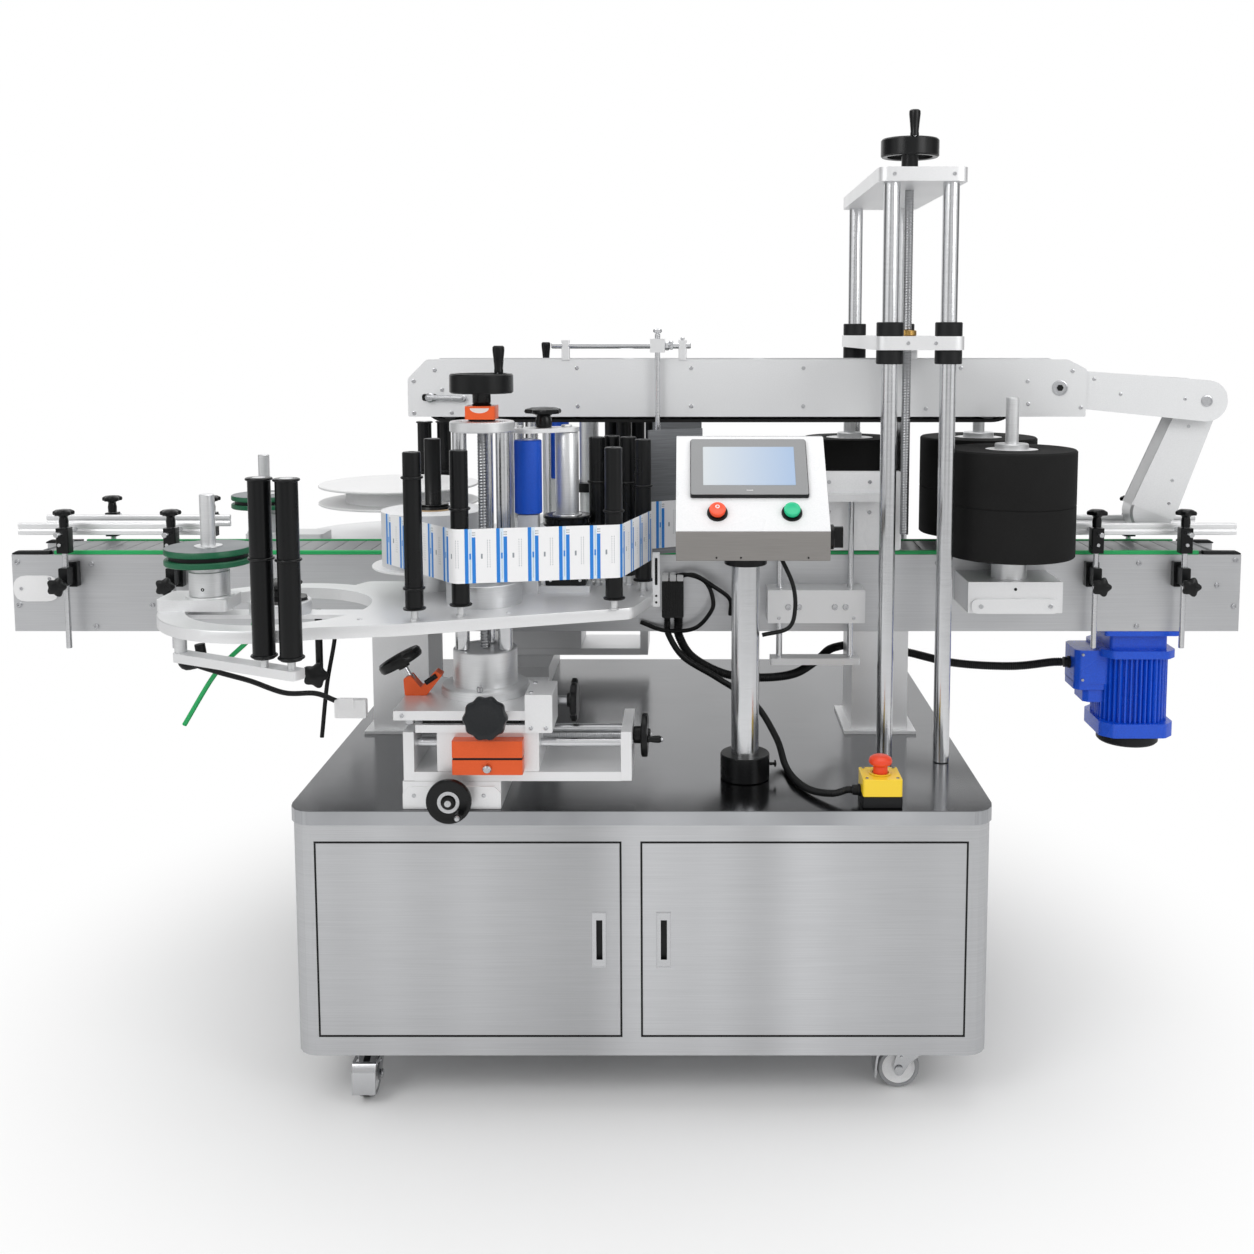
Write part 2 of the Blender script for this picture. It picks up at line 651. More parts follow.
def cabinet():
    """The steel cabinet, its worktop and its two doors."""
    inner_x = (SHELL_X[0] + SHEET, SHELL_X[1] - SHEET)
    inner_y = (SHELL_Y[0] + SHEET, SHELL_Y[1] - SHEET)
    shell = block(SHELL_X, SHELL_Y, (CASTER_HEIGHT, SHELL_TOP_Z), WORKTOP_CORNER - SHELL_INSET)
    hollow = block(inner_x, inner_y, (CASTER_HEIGHT + SHEET, SHELL_TOP_Z + OVERRUN),
                   WORKTOP_CORNER - SHELL_INSET - SHEET)
    front = (SHELL_Y[0] - OVERRUN, SHELL_Y[0] + OVERRUN)
    openings = [block(x, front, DOOR_Z) for x in (LEFT_OPENING_X, RIGHT_OPENING_X)]
    fuse("cabinet_shell", BRUSHED, [shell], [hollow, *openings])

    top = block(CABINET_X, CABINET_Y, (WORKTOP_Z - WORKTOP_SKIRT, WORKTOP_Z), WORKTOP_CORNER)
    under = block((CABINET_X[0] + SHEET, CABINET_X[1] - SHEET), (CABINET_Y[0] + SHEET, CABINET_Y[1] - SHEET),
                  (WORKTOP_Z - WORKTOP_SKIRT - OVERRUN, WORKTOP_Z - WORKTOP_PLATE), WORKTOP_CORNER - SHEET)
    fuse("worktop", BRUSHED, [top], [under])

    for name, opening, hinge in (("door_left", LEFT_OPENING_X, 0), ("door_right", RIGHT_OPENING_X, 1)):
        free = 1 - hinge
        inward = 1 if hinge == 0 else -1
        hung = opening[hinge] + inward * HINGE_GAP
        edge = opening[free] - inward * DOOR_GAP
        y = (SHELL_Y[0], SHELL_Y[0] + DOOR_THICK)
        z = (DOOR_Z[0] + DOOR_GAP, DOOR_Z[1] - DOOR_GAP)
        leaf = block((hung, edge), y, z)
        pocket = block((hung + inward * DOOR_SKIN, edge - inward * DOOR_SKIN),
                       (y[0] + DOOR_SKIN, y[1] + OVERRUN), (z[0] + DOOR_SKIN, z[1] - DOOR_SKIN))
        grip_x = (edge - inward * HANDLE_EDGE, edge - inward * (HANDLE_EDGE + HANDLE_WIDTH))
        middle = (z[0] + z[1]) / 2
        cup = block(grip_x, (y[0], y[0] + HANDLE_DEPTH + DOOR_SKIN), around(middle, HANDLE_HEIGHT / 2))
        recess = block((grip_x[0] - inward * DOOR_SKIN, grip_x[1] + inward * DOOR_SKIN),
                       (y[0] - OVERRUN, y[0] + HANDLE_DEPTH), around(middle, HANDLE_HEIGHT / 2 - DOOR_SKIN))
        pan = fuse(name, BRUSHED, [leaf], [pocket])
        weld(pan, cup, "UNION")
        weld(pan, recess, "DIFFERENCE")
        move_origin(pan, (opening[hinge], SHELL_Y[0], middle))


def weld(piece, tool, operation):
    """Join a tool to a finished piece, or cut it away."""
    modifier = piece.modifiers.new(operation, "BOOLEAN")
    modifier.operation = operation
    modifier.object = tool
    seen = piece.evaluated_get(bpy.context.evaluated_depsgraph_get())
    mesh = bpy.data.meshes.new_from_object(seen)
    piece.modifiers.clear()
    piece.data = mesh
    bpy.data.objects.remove(tool)


def move_origin(piece, pivot):
    """Set a piece's origin on a pivot, leaving its shape where it is."""
    shift = Vector(pivot) - piece.location
    for v in piece.data.vertices:
        v.co -= shift
    piece.location = pivot


def casters():
    """Four swivel casters. Each is drawn with its wheel trailing along +X and then turned."""
    places = [
        (x, y)
        for y in (CABINET_Y[0] + CASTER_INSET_Y, CABINET_Y[1] - CASTER_INSET_Y)
        for x in (CABINET_X[0] + CASTER_INSET_X, CABINET_X[1] - CASTER_INSET_X)
    ]
    corners = ("front_left", "front_right", "rear_left", "rear_right")
    for corner, (x, y), angle in zip(corners, places, CASTER_TURNS):
        half = CASTER_WHEEL_WIDTH / 2 + CASTER_CLEAR
        outer = half + CASTER_LEG
        top = CASTER_HEIGHT - FIT
        crown = top - CASTER_HOUSING
        leg = ((-CASTER_YOKE, crown + BITE), (CASTER_YOKE, crown + BITE),
               (CASTER_TRAIL + CASTER_YOKE / 2, CASTER_WHEEL_R), (CASTER_TRAIL, CASTER_WHEEL_R / 2),
               (CASTER_TRAIL - CASTER_YOKE / 2, CASTER_WHEEL_R))
        solids = [
            turned(((0, crown), (CASTER_HOUSING_R, crown), (CASTER_HOUSING_R, top), (0, top)), (0, 0, 0)),
            block((-CASTER_YOKE, CASTER_YOKE), (-outer, outer), (crown - CASTER_LEG, crown + BITE)),
            prism(leg, half, outer, "y"),
            prism(leg, -outer, -half, "y"),
            rod((CASTER_TRAIL, -outer - CASTER_LEG, CASTER_WHEEL_R),
                (CASTER_TRAIL, outer + CASTER_LEG, CASTER_WHEEL_R), CASTER_AXLE_R),
        ]
        pedal_start = CASTER_TRAIL + CASTER_YOKE / 2
        for side in (-1, 1):
            solids.append(block((CASTER_TRAIL - CASTER_YOKE, pedal_start + CASTER_YOKE),
                                (side * (half + BITE / 2), side * (outer + CASTER_LEG)),
                                (PEDAL_Z, PEDAL_Z + PEDAL_THICK)))
        solids.append(block((pedal_start + CASTER_YOKE - BITE, pedal_start + CASTER_YOKE + PEDAL_LENGTH / 2),
                            around(0, outer + CASTER_LEG), (PEDAL_Z, PEDAL_Z + PEDAL_THICK)))
        for solid in solids:
            for v in solid.data.vertices:
                v.co.z -= top
        fuse(f"caster_fork_{corner}", POLISHED, solids, pivot=(x, y, top), turn=angle)
        width = CASTER_WHEEL_WIDTH / 2
        eye = (CASTER_AXLE_R + FIT) / cos(pi / ROUND)
        ring = ((eye, -width), (CASTER_WHEEL_R, -width), (CASTER_WHEEL_R, width), (eye, width))
        wheel = turned(ring, (0, 0, 0), (0, 1, 0))
        reach = Vector((cos(radians(angle)), sin(radians(angle)))) * CASTER_TRAIL
        fuse(f"caster_wheel_{corner}", FOAM, [wheel], pivot=(x + reach.x, y + reach.y, CASTER_WHEEL_R),
             turn=angle)


def guide_post(side, x):
    """One upright guide post on the conveyor's side: bracket, knobs, rod and clamp."""
    wall = CONVEYOR_HALF_WIDTH - BITE
    return [
        block(around(x, BRACKET_HALF), outs(side, (wall, POST_Y + BRACKET_HALF)),
              around(BRACKET_Z, BRACKET_HEIGHT / 2)),
        rod((x, out(side, POST_Y), POST_LOW_Z), (x, out(side, POST_Y), CLAMP_LOW_Z + BITE), POST_R),
        block(around(x, CLAMP_HALF), around(out(side, POST_Y), CLAMP_HALF), (CLAMP_LOW_Z, CLAMP_TOP_Z)),
        turned(((0, 0), (KNOB_STEM_R, 0), (KNOB_STEM_R, KNOB_TOP_Z - KNOB_THICK - CLAMP_TOP_Z),
                (KNOB_R, KNOB_TOP_Z - KNOB_THICK - CLAMP_TOP_Z), (KNOB_R, KNOB_TOP_Z - CLAMP_TOP_Z + BITE),
                (0, KNOB_TOP_Z - CLAMP_TOP_Z + BITE)),
               (x, out(side, POST_Y), CLAMP_TOP_Z - BITE), sides=FINE),
        turned(((0, 0), (KNOB_STEM_R, 0), (KNOB_STEM_R, SIDE_KNOB_OUT - KNOB_THICK),
                (SIDE_KNOB_R, SIDE_KNOB_OUT - KNOB_THICK), (SIDE_KNOB_R, SIDE_KNOB_OUT), (0, SIDE_KNOB_OUT)),
               (x, out(side, POST_Y + BRACKET_HALF - BITE), BRACKET_Z), (0, side, 0), FINE),
    ]


def rail_posts(side, right):
    """Where one rail's two posts stand along the conveyor."""
    if not right:
        return POSTS_LEFT_X
    shift = REAR_RIGHT_SHIFT if side > 0 else 0
    return tuple(x - shift for x in POSTS_RIGHT_X)


def conveyor():
    """Side plates, spacers, wear strips and posts in one frame, then the chain, sprocket and rails."""
    inner = CONVEYOR_HALF_WIDTH - CONVEYOR_PLATE
    solids, cuts = [], []
    for side in (-1, 1):
        strip = CONVEYOR_HALF_WIDTH - STRIP_WIDTH
        outline = ((CONVEYOR_HALF_WIDTH, CONVEYOR_BOTTOM_Z), (CONVEYOR_HALF_WIDTH, STRIP_TOP_Z),
                   (strip, STRIP_TOP_Z), (strip, CONVEYOR_PLATE_TOP_Z), (inner, CONVEYOR_PLATE_TOP_Z),
                   (inner, CONVEYOR_BOTTOM_Z))
        solids.append(prism([(out(side, y), z) for y, z in outline], -HALF_LENGTH, HALF_LENGTH, "x"))
        for right in (False, True):
            for x in rail_posts(side, right):
                solids += guide_post(side, x)
                near, far = around(POST_Y, OVERRUN)
                cuts.append(bore((x, out(side, near), RAIL_Z), (x, out(side, far), RAIL_Z), CROSS_ROD_R))
        for x in around(SPACING_X, GUIDE_ROD_HALF_SPAN):
            cuts.append(bore((x, out(side, inner - OVERRUN), LINK_Z),
                             (x, out(side, CONVEYOR_HALF_WIDTH + OVERRUN), LINK_Z), GUIDE_ROD_R))
        ride = CHAIN_TOP_Z - CHAIN_THICK - FIT
        solids.append(block(around(0, HALF_LENGTH - CHAIN_RADIUS), outs(side, (CHAIN_RAIL_Y, inner + BITE)),
                            (ride - CHAIN_RAIL, ride)))
    step = (CONVEYOR_LENGTH - 2 * SPACER_INSET) / (SPACER_COUNT - 1)
    for i in range(SPACER_COUNT):
        x = -HALF_LENGTH + SPACER_INSET + i * step
        solids.append(rod((x, -inner - BITE, CHAIN_MIDDLE_Z), (x, inner + BITE, CHAIN_MIDDLE_Z), SPACER_R))

    # The wrap pad's block on the front plate, with holes for its two rods
    y = (-CONVEYOR_HALF_WIDTH + BITE, -CONVEYOR_HALF_WIDTH - WRAP_BLOCK_OUT)
    solids.append(block(WRAP_BLOCK_X, y, WRAP_BLOCK_Z))
    for x in (WRAP_BLOCK_X[0] + WRAP_ROD_INSET, WRAP_BLOCK_X[1] - WRAP_ROD_INSET):
        cuts.append(bore((x, -WRAP_ROD_Y, WRAP_BLOCK_Z[0] - OVERRUN),
                         (x, -WRAP_ROD_Y, WRAP_BLOCK_Z[1] + OVERRUN), WRAP_ROD_R))

    # The wrap roller's bracket on the rear plate, and the cable connectors on the front one
    y = (CONVEYOR_HALF_WIDTH - BITE, WRAP_ROLLER_Y + BOSS_R)
    solids.append(block(around(WRAP_ROLLER_X, BOSS_R), y, (SPACING_BLOCK_Z[0], SPACING_LOW_Z - FIT)))
    y = (-CONVEYOR_HALF_WIDTH + BITE, -CONVEYOR_HALF_WIDTH - CONNECTOR_OUT)
    solids.append(block(CONNECTOR_X, y, CONNECTOR_Z))
    fuse("conveyor_frame", BRUSHED, solids, cuts)

    def racetrack(radius, inset):
        ends = HALF_LENGTH - inset - CHAIN_RADIUS
        turns = [radians(a) for a in range(-90, 91, CHAIN_ARC_DEGREES)]
        arc = [(radius * cos(a), radius * sin(a)) for a in turns]
        return ([(ends + a, CHAIN_MIDDLE_Z + b) for a, b in arc]
                + [(-ends - a, CHAIN_MIDDLE_Z - b) for a, b in arc])

    loop = prism(racetrack(CHAIN_RADIUS, 0), -CHAIN_HALF_WIDTH, CHAIN_HALF_WIDTH, "y")
    inside = prism(racetrack(CHAIN_RADIUS - CHAIN_THICK, 0), -CHAIN_HALF_WIDTH - OVERRUN,
                   CHAIN_HALF_WIDTH + OVERRUN, "y")
    fuse("slat_chain", ((0.25, 0.25, 0.26), 0.5, 0.3), [loop], [inside])

    for side, row in ((-1, "front"), (1, "rear")):
        for right, end in ((False, "left"), (True, "right")):
            posts = rail_posts(side, right)
            shift = POSTS_RIGHT_X[0] - posts[0] if right else 0
            span = tuple(x - shift for x in (RAIL_RIGHT_X if right else RAIL_LEFT_X))
            bar = block(span, around(out(side, RAIL_Y), RAIL_THICK / 2), around(RAIL_Z, RAIL_HEIGHT / 2))
            reach = (out(side, RAIL_Y), out(side, POST_Y + CROSS_ROD_OUT))
            rods = [bar_y(x, reach, RAIL_Z, CROSS_ROD_R) for x in posts]
            fuse(f"guide_rail_{row}_{end}", ANODISED, [bar, *rods])


def supports():
    """The two bent-plate stands between the worktop and the conveyor, open at the back."""
    low, high = WORKTOP_Z + FIT, CONVEYOR_BOTTOM_Z - FIT
    for name, x in (("support_left", SUPPORT_LEFT_X), ("support_right", SUPPORT_RIGHT_X)):
        half = SUPPORT_WIDTH / 2
        stand = block(around(x, half), around(0, CONVEYOR_HALF_WIDTH), (low, high))
        foot = block(around(x, half + SUPPORT_LIP), around(0, CONVEYOR_HALF_WIDTH + SUPPORT_LIP),
                     (low, low + SUPPORT_FLANGE))
        pocket = block(around(x, half - SUPPORT_WALL),
                       (-CONVEYOR_HALF_WIDTH + SUPPORT_WALL, CONVEYOR_HALF_WIDTH + OVERRUN),
                       (low + SUPPORT_FLANGE, high - SUPPORT_WALL))
        fuse(name, BRUSHED, [stand, foot], [pocket])


def motor():
    """The geared drive motor that hangs under the conveyor's right end."""
    profile = ((0, MOTOR_FAN_Z), (MOTOR_FAN_R, MOTOR_FAN_Z), (MOTOR_FAN_R, MOTOR_LOW_Z),
               (MOTOR_R, MOTOR_LOW_Z), (MOTOR_R, MOTOR_TOP_Z), (0, MOTOR_TOP_Z))
    gland = MOTOR_X - MOTOR_R - TERMINAL_LENGTH
    seat = CONVEYOR_BOTTOM_Z - FIT
    fuse("drive_motor", BLUE, [
        turned(profile, (MOTOR_X, 0, 0), sides=WIDE),
        block(around(MOTOR_X, GEARBOX_HALF), around(0, GEARBOX_HALF),
              (MOTOR_TOP_Z - BITE, seat - MOTOR_FLANGE + BITE)),
        block(around(MOTOR_X, MOTOR_R), around(0, CONVEYOR_HALF_WIDTH), (seat - MOTOR_FLANGE, seat)),
        block((gland, MOTOR_X - MOTOR_R / 2), around(0, TERMINAL_HALF_DEPTH),
              (TERMINAL_LOW_Z, TERMINAL_TOP_Z)),
        rod((gland - GLAND_LENGTH, 0, (TERMINAL_LOW_Z + TERMINAL_TOP_Z) / 2),
            (gland + BITE, 0, (TERMINAL_LOW_Z + TERMINAL_TOP_Z) / 2), GLAND_R),
    ])


def spacing_wheels():
    """The foam rollers that space the bottles, on their brackets, and the wrap roller."""
    top = SPACING_LOW_Z + SPACING_HEIGHT

    def foam_roller(name, x, y, radius):
        profile = ((0, SPACING_LOW_Z), (radius, SPACING_LOW_Z), (radius, top), (SPACING_HUB_R, top),
                   (SPACING_HUB_R, top + SPACING_HUB_HEIGHT), (SPACING_SHAFT_R, top + SPACING_HUB_HEIGHT),
                   (SPACING_SHAFT_R, SPACING_SHAFT_TOP_Z), (0, SPACING_SHAFT_TOP_Z))
        fuse(name, FOAM, [turned(profile, (x, y, 0), sides=WIDE)], pivot=(x, y, SPACING_LOW_Z))

    for side, row in ((-1, "front"), (1, "rear")):
        y = out(side, SPACING_Y)
        back = CONVEYOR_HALF_WIDTH + FIT
        front = back + SPACING_BLOCK_OUT
        solids = [
            block(around(SPACING_X, SPACING_BLOCK_HALF), outs(side, (back, front)), SPACING_BLOCK_Z),
            pillar((SPACING_X, y), SPACING_BLOCK_Z[1] - BITE, SPACING_LOW_Z - FIT, BOSS_R, ROUND),
            block(around(SPACING_X, LINK_HALF - LINK_R), outs(side, (front - BITE, front + LINK_PLATE)),
                  around(LINK_Z, LINK_R)),
        ]
        for x in around(SPACING_X, LINK_HALF - LINK_R):
            solids.append(bar_y(x, (out(side, front - BITE), out(side, front + LINK_PLATE)), LINK_Z, LINK_R))
        for x in around(SPACING_X, GUIDE_ROD_HALF_SPAN):
            reach = (out(side, back - GUIDE_ROD_IN), out(side, back + BITE))
            solids.append(bar_y(x, reach, LINK_Z, GUIDE_ROD_R))
        fuse(f"spacing_bracket_{row}", ANODISED, solids)
        foam_roller(f"spacing_roller_{row}", SPACING_X, y, SPACING_R)
    foam_roller("wrap_roller", WRAP_ROLLER_X, WRAP_ROLLER_Y, WRAP_ROLLER_R)


def wrap_pad():
    """The height-adjustable pad at the conveyor's front edge, on two rods through its block."""
    rods = [WRAP_BLOCK_X[0] + WRAP_ROD_INSET, WRAP_BLOCK_X[1] - WRAP_ROD_INSET]
    span = (rods[0] - WRAP_PLATE_HALF, rods[1] + WRAP_PLATE_HALF)
    y = around(-WRAP_ROD_Y, WRAP_PLATE_HALF)
    solids = [
        block(span, y, WRAP_LOW_Z),
        block((span[0], WRAP_TOP_END_X), y, WRAP_TOP_Z),
        block(PAD_X, (-PAD_Y, -PAD_Y - PAD_THICK), PAD_Z),
    ]
    for x in rods:
        solids.append(pillar((x, -WRAP_ROD_Y), WRAP_LOW_Z[1] - BITE, WRAP_TOP_Z[0] + BITE, WRAP_ROD_R))
    fuse("wrap_pad", SATIN, solids)


def tower():
    """Four posts and a top plate, the lifting plate on its collars, and the screw with its hand wheel."""
    posts = [(x, y) for x in around(TOWER_X, TOWER_HALF_X) for y in around(0, TOWER_HALF_Y)]
    plate_x = around(TOWER_X, TOWER_HALF_X + TOWER_EDGE)
    plate_y = around(0, TOWER_HALF_Y + TOWER_EDGE)
    base = TOWER_TOP_Z - TOWER_PLATE
    screw_hole = bore((TOWER_X, LIFT_SCREW_Y, base - OVERRUN), (TOWER_X, LIFT_SCREW_Y, TOWER_TOP_Z + OVERRUN),
                      LIFT_SCREW_R)
    legs = [rod((x, y, WORKTOP_Z + FIT), (x, y, base + BITE), TOWER_POST_R, ROUND) for x, y in posts]
    fuse("tower_frame", POLISHED, [block(plate_x, plate_y, (base, TOWER_TOP_Z), TOWER_EDGE / 2), *legs],
         [screw_hole])

    low, high = LIFT_PLATE_Z
    solids = [block(plate_x, plate_y, LIFT_PLATE_Z, TOWER_EDGE / 2)]
    cuts = [bore((TOWER_X, LIFT_SCREW_Y, low - OVERRUN), (TOWER_X, LIFT_SCREW_Y, high + OVERRUN),
                 LIFT_SCREW_R)]
    for x, y in posts:
        solids.append(rod((x, y, low - COLLAR_HEIGHT), (x, y, high + COLLAR_HEIGHT), COLLAR_R, ROUND))
        cuts.append(bore((x, y, low - COLLAR_HEIGHT - OVERRUN), (x, y, high + COLLAR_HEIGHT + OVERRUN),
                         TOWER_POST_R, ROUND))
    solids.append(block(around(TOWER_X, HANGER_HALF), around(0, BEAM_HALF_WIDTH),
                        (BEAM_Z[1] + FIT, low + BITE)))
    fuse("lift_carriage", SATIN, solids, cuts)

    screw_place = (TOWER_X, LIFT_SCREW_Y)
    wheel = hand_wheel((*screw_place, TOWER_TOP_Z + FIT), (0, 0, 1), HAND_R, TOWER_HUB_HEIGHT, (0, -1, 0))
    screw = pillar(screw_place, LIFT_SCREW_LOW_Z, TOWER_TOP_Z + TOWER_HUB_HEIGHT / 2, LIFT_SCREW_R)
    fuse("lift_wheel", BLACK, [*wheel, screw], pivot=(TOWER_X, LIFT_SCREW_Y, TOWER_TOP_Z))


def beam():
    """The hold-down beam with its belt and sensor rod, and the arm that pivots at its right end."""
    left, right = BEAM_X
    low, high = BEAM_Z
    outline = ((left, low), (right, low), (right, high - BEAM_CHAMFER / 2), (right - BEAM_CHAMFER, high),
               (left + BEAM_CHAMFER, high), (left, high - BEAM_CHAMFER))
    inner = BEAM_HALF_WIDTH - BEAM_PLATE
    plates = [prism(outline, *outs(side, (inner, BEAM_HALF_WIDTH)), "y") for side in (-1, 1)]
    belt_low = low - BEAM_BELT_DROP
    belt_x = (left + BEAM_BELT_INSET, BEAM_BELT_END_X)
    belt = block(belt_x, around(0, inner + BITE), (belt_low, BEAM_BELT_TOP_Z))
    inside = block((belt_x[0] + BEAM_BELT_THICK, belt_x[1] - BEAM_BELT_THICK),
                   around(0, BEAM_HALF_WIDTH + OVERRUN),
                   (belt_low + BEAM_BELT_THICK, BEAM_BELT_TOP_Z - BEAM_BELT_THICK))
    trimmed = fuse("belt", BLACK, [belt], [inside])
    bed = block((TOWER_X - BEAM_HALF_WIDTH, TOWER_X + BEAM_HALF_WIDTH), around(0, inner + BITE),
                (BEAM_BELT_TOP_Z - BITE, high))
    hang = []
    for x in SENSOR_POSTS_X:
        hang.append(block(around(x, SENSOR_POST_HALF), outs(-1, (inner, BEAM_HALF_WIDTH)),
                          (high - BITE, SENSOR_ROD_Z + SENSOR_POST_HALF)))
    middle = -(inner + BEAM_HALF_WIDTH) / 2
    hang.append(rod((SENSOR_POSTS_X[0] - SENSOR_BLOCK_HALF, middle, SENSOR_ROD_Z),
                    (SENSOR_POSTS_X[1] + SENSOR_BLOCK_HALF, middle, SENSOR_ROD_Z), SENSOR_ROD_R))
    hang.append(block(around(SENSOR_DROP_X, SENSOR_BLOCK_HALF),
                      (-SENSOR_DROP_Y - SENSOR_BLOCK_HALF / 2, middle + SENSOR_BLOCK_HALF / 2),
                      around(SENSOR_ROD_Z, SENSOR_BLOCK_HALF)))
    hang.append(pillar((SENSOR_DROP_X, -SENSOR_DROP_Y), SENSOR_DROP_LOW_Z, SENSOR_ROD_Z, SENSOR_ROD_R))
    fuse("hold_down_beam", SATIN, [plates[0], trimmed, plates[1], bed, *hang])

    width = inner - FIT
    slope = (LINK_END_Z - PIVOT_Z) / (LINK_END_X - PIVOT_X)
    link = ((PIVOT_X, PIVOT_Z - PIVOT_R), (LINK_END_X, LINK_END_Z - LINK_END_R),
            (LINK_END_X, LINK_END_Z + LINK_END_R), (PIVOT_X, PIVOT_Z + PIVOT_R - slope * PIVOT_R))
    lean = Vector((ARM_END_X - LINK_END_X, ARM_END_Z - LINK_END_Z))
    across = Vector((-lean.y, lean.x)).normalized() * ARM_HALF_WIDTH
    start = Vector((LINK_END_X, LINK_END_Z)) + lean.normalized() * BITE
    end = Vector((ARM_END_X, ARM_END_Z))
    narrow = across / ARM_TAPER
    reach = [tuple(p) for p in (start - narrow, start + narrow, end + across, end - across)]
    fuse("beam_arm", SATIN, [
        prism(link, -width, width, "y"),
        bar_y(PIVOT_X, (-width, width), PIVOT_Z, PIVOT_R, ROUND),
        bar_y(LINK_END_X, (-width, width), LINK_END_Z, LINK_END_R, ROUND),
        prism(reach, -ARM_HALF_DEPTH, ARM_HALF_DEPTH, "y"),
        bar_y(ARM_END_X, (-ARM_HALF_DEPTH, ARM_HALF_DEPTH), ARM_END_Z, ARM_HALF_WIDTH, ROUND),
    ], pivot=(PIVOT_X, 0, PIVOT_Z))


def slope_point(x, share, height):
    """A point over the panel's sloped face: a share of the way up it, at a height above it."""
    start, end = Vector((BOX_FRONT_Y, BOX_LIP_Z)), Vector((BOX_TOP_Y, BOX_TOP_Z))
    along = end - start
    normal = Vector((-along.y, along.x)).normalized()
    place = start + along * share + normal * height
    return Vector((x, place.x, place.y))


def panel():
    """The operator's panel on its post, with two push buttons and the power switch."""
    x, y = PANEL_POST_X, PANEL_POST_Y
    floor = WORKTOP_Z + FIT
    top = BOX_LOW_Z - FIT
    profile = ((0, floor), (PANEL_BASE_R, floor), (PANEL_BASE_R, floor + PANEL_BASE_HEIGHT),
               (PANEL_POST_R, floor + PANEL_BASE_HEIGHT), (PANEL_POST_R, top - PANEL_COLLAR_HEIGHT),
               (PANEL_COLLAR_R, top - PANEL_COLLAR_HEIGHT), (PANEL_COLLAR_R, top), (0, top))
    fuse("panel_post", POLISHED, [turned(profile, (x, y, 0), sides=WIDE)])

    outline = ((BOX_FRONT_Y, BOX_LOW_Z), (BOX_FRONT_Y, BOX_LIP_Z), (BOX_TOP_Y, BOX_TOP_Z),
               (BOX_BACK_Y, BOX_TOP_Z), (BOX_BACK_Y, BOX_LOW_Z))
    box = prism(outline, *BOX_X, "x")
    heights = (-BITE, SCREEN_OUT)
    corners = [slope_point(SCREEN_X[0], share, height) for share in SCREEN_SHARES for height in heights]
    screen_outline = [(corners[i].y, corners[i].z) for i in (0, 1, 3, 2)]
    screen = prism(screen_outline, *SCREEN_X, "x")
    normal = (slope_point(0, 0, 1) - slope_point(0, 0, 0)).normalized()
    holes = []
    for place in (STOP_X, START_X):
        foot = slope_point(place, BUTTON_SHARE, -BUTTON_STEM - BUTTON_TRAVEL - FIT)
        holes.append(bore(foot, slope_point(place, BUTTON_SHARE, OVERRUN), BUTTON_STEM_R))
    shaft = (BOX_X[1] - BUTTON_STEM - FIT, SWITCH_Y, SWITCH_Z)
    holes.append(bore(shaft, (BOX_X[1] + OVERRUN, SWITCH_Y, SWITCH_Z), BUTTON_STEM_R))
    fuse("control_box", SATIN, [box, screen], holes)

    for name, place, look in (("stop_button", STOP_X, RED), ("start_button", START_X, GREEN)):
        foot = slope_point(place, BUTTON_SHARE, -BUTTON_STEM)
        profile = ((0, 0), (BUTTON_STEM_R, 0), (BUTTON_STEM_R, BUTTON_STEM + BUTTON_TRAVEL + FIT),
                   (BUTTON_R, BUTTON_STEM + BUTTON_TRAVEL + FIT), (BUTTON_R, BUTTON_STEM + BUTTON_HEIGHT),
                   (0, BUTTON_STEM + BUTTON_HEIGHT))
        fuse(name, look, [turned(profile, foot, normal, FINE)], pivot=slope_point(place, BUTTON_SHARE, 0))

    stem = (BOX_X[1] - BUTTON_STEM, SWITCH_Y, SWITCH_Z)
    profile = ((0, 0), (BUTTON_STEM_R, 0), (BUTTON_STEM_R, BUTTON_STEM + FIT), (SWITCH_R, BUTTON_STEM + FIT),
               (SWITCH_R, BUTTON_STEM + SWITCH_PLATE), (0, BUTTON_STEM + SWITCH_PLATE))
    face = BOX_X[1] + SWITCH_PLATE
    grip = block((face - BITE, face + SWITCH_GRIP), around(SWITCH_Y, SWITCH_GRIP_HALF),
                 around(SWITCH_Z, SWITCH_GRIP_REACH))
    fuse("power_switch", BLACK, [turned(profile, stem, (1, 0, 0), FINE), grip],
         pivot=(BOX_X[1], SWITCH_Y, SWITCH_Z))


def estop():
    """The emergency stop box on the worktop with its mushroom button."""
    low = WORKTOP_Z + FIT
    top = low + ESTOP_HEIGHT
    x, y = ESTOP_X, ESTOP_Y
    left = x - ESTOP_HALF
    gland_z = STOP_CONDUIT_ROUTE[0][2]
    case = block(around(x, ESTOP_HALF), around(y, ESTOP_HALF), (low, top))
    gland = rod((left - GLAND_LENGTH, y, gland_z), (left + BITE, y, gland_z), GLAND_R)
    well = bore((x, y, top - ESTOP_DEPTH - FIT - ESTOP_TRAVEL), (x, y, top + OVERRUN), ESTOP_STEM_R, ROUND)
    fuse("estop_box", YELLOW, [case, gland], [well])
    foot = top - ESTOP_DEPTH
    profile = ((0, 0), (ESTOP_STEM_R, 0), (ESTOP_STEM_R, ESTOP_DEPTH + ESTOP_STEM),
               (ESTOP_CAP_R, ESTOP_DEPTH + ESTOP_STEM), (ESTOP_CAP_R, ESTOP_DEPTH + ESTOP_STEM + ESTOP_CAP),
               (0, ESTOP_DEPTH + ESTOP_STEM + ESTOP_CAP))
    fuse("estop_button", RED, [turned(profile, (x, y, foot))], pivot=(x, y, top))


